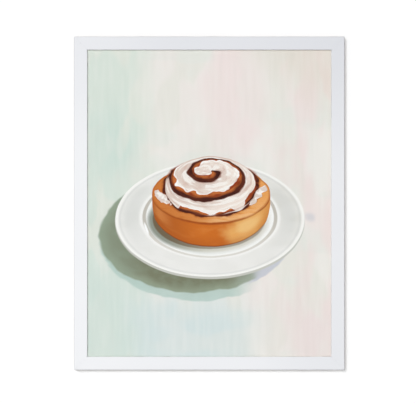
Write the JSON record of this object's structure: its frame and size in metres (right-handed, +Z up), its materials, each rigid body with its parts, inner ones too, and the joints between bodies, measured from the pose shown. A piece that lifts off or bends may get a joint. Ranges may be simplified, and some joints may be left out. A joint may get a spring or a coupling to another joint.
{
  "type": "framed art print",
  "caption": "Portrait art print behind glass in a narrow white mitred wood frame, with a sawtooth hanger, turn buttons on its back and a soft still life of a cinnamon roll on a plate.",
  "frame": {"origin": "roof of the hanger's middle notch, where the wall's nail carries the frame, in the plane of the wall", "axes": "+X to the right as seen from the front, +Z up, +Y into the wall, so the picture faces -Y"},
  "size_m": [0.4374, 0.018, 0.539],
  "materials": {
    "white_lacquer": "satin",
    "bare_steel": "satin",
    "clear_glass": "gloss",
    "printed_paper": "matte",
    "foam_board": "matte",
    "hardboard": "matte",
    "brass_plate": "satin",
    "nickel_plate": "satin",
    "felt": "matte"
  },
  "bodies": {
    "frame": {"top_rail": "white_lacquer", "bottom_rail": "white_lacquer", "left_rail": "white_lacquer", "right_rail": "white_lacquer", "v_nail_top_left_outer": "bare_steel", "v_nail_top_left_inner": "bare_steel", "v_nail_top_right_outer": "bare_steel", "v_nail_top_right_inner": "bare_steel", "v_nail_bottom_left_outer": "bare_steel", "v_nail_bottom_left_inner": "bare_steel", "v_nail_bottom_right_outer": "bare_steel", "v_nail_bottom_right_inner": "bare_steel", "glazing": "clear_glass", "art_print": "printed_paper", "foam_board": "foam_board", "backing_board": "hardboard", "sawtooth_hanger": "brass_plate", "hanger_nail_left": "brass_plate", "hanger_nail_right": "brass_plate", "bumper_left": "felt", "bumper_right": "felt", "screw_top_left": "nickel_plate", "screw_top_right": "nickel_plate", "screw_bottom_left": "nickel_plate", "screw_bottom_right": "nickel_plate", "screw_left_lower": "nickel_plate", "screw_left_upper": "nickel_plate", "screw_right_lower": "nickel_plate", "screw_right_upper": "nickel_plate"},
    "turn_button_top_left": {"turn_button_top_left": "nickel_plate"},
    "turn_button_top_right": {"turn_button_top_right": "nickel_plate"},
    "turn_button_bottom_left": {"turn_button_bottom_left": "nickel_plate"},
    "turn_button_bottom_right": {"turn_button_bottom_right": "nickel_plate"},
    "turn_button_left_lower": {"turn_button_left_lower": "nickel_plate"},
    "turn_button_left_upper": {"turn_button_left_upper": "nickel_plate"},
    "turn_button_right_lower": {"turn_button_right_lower": "nickel_plate"},
    "turn_button_right_upper": {"turn_button_right_upper": "nickel_plate"}
  },
  "joints": [
    {"name": "turn_top_left", "type": "hinge", "parent": "frame", "child": "turn_button_top_left", "pos_m": [-0.1181, -0.0033, 0.0025], "axis": [0, 1, 0], "range_deg": [-90, 90]},
    {"name": "turn_top_right", "type": "hinge", "parent": "frame", "child": "turn_button_top_right", "pos_m": [0.1181, -0.0033, 0.0025], "axis": [0, 1, 0], "range_deg": [-90, 90]},
    {"name": "turn_bottom_left", "type": "hinge", "parent": "frame", "child": "turn_button_bottom_left", "pos_m": [-0.1181, -0.0033, -0.5226], "axis": [0, 1, 0], "range_deg": [-90, 90]},
    {"name": "turn_bottom_right", "type": "hinge", "parent": "frame", "child": "turn_button_bottom_right", "pos_m": [0.1181, -0.0033, -0.5226], "axis": [0, 1, 0], "range_deg": [-90, 90]},
    {"name": "turn_left_lower", "type": "hinge", "parent": "frame", "child": "turn_button_left_lower", "pos_m": [-0.21175, -0.0033, -0.40558], "axis": [0, 1, 0], "range_deg": [-90, 90]},
    {"name": "turn_left_upper", "type": "hinge", "parent": "frame", "child": "turn_button_left_upper", "pos_m": [-0.21175, -0.0033, -0.11452], "axis": [0, 1, 0], "range_deg": [-90, 90]},
    {"name": "turn_right_lower", "type": "hinge", "parent": "frame", "child": "turn_button_right_lower", "pos_m": [0.21175, -0.0033, -0.40558], "axis": [0, 1, 0], "range_deg": [-90, 90]},
    {"name": "turn_right_upper", "type": "hinge", "parent": "frame", "child": "turn_button_right_upper", "pos_m": [0.21175, -0.0033, -0.11452], "axis": [0, 1, 0], "range_deg": [-90, 90]}
  ]
}
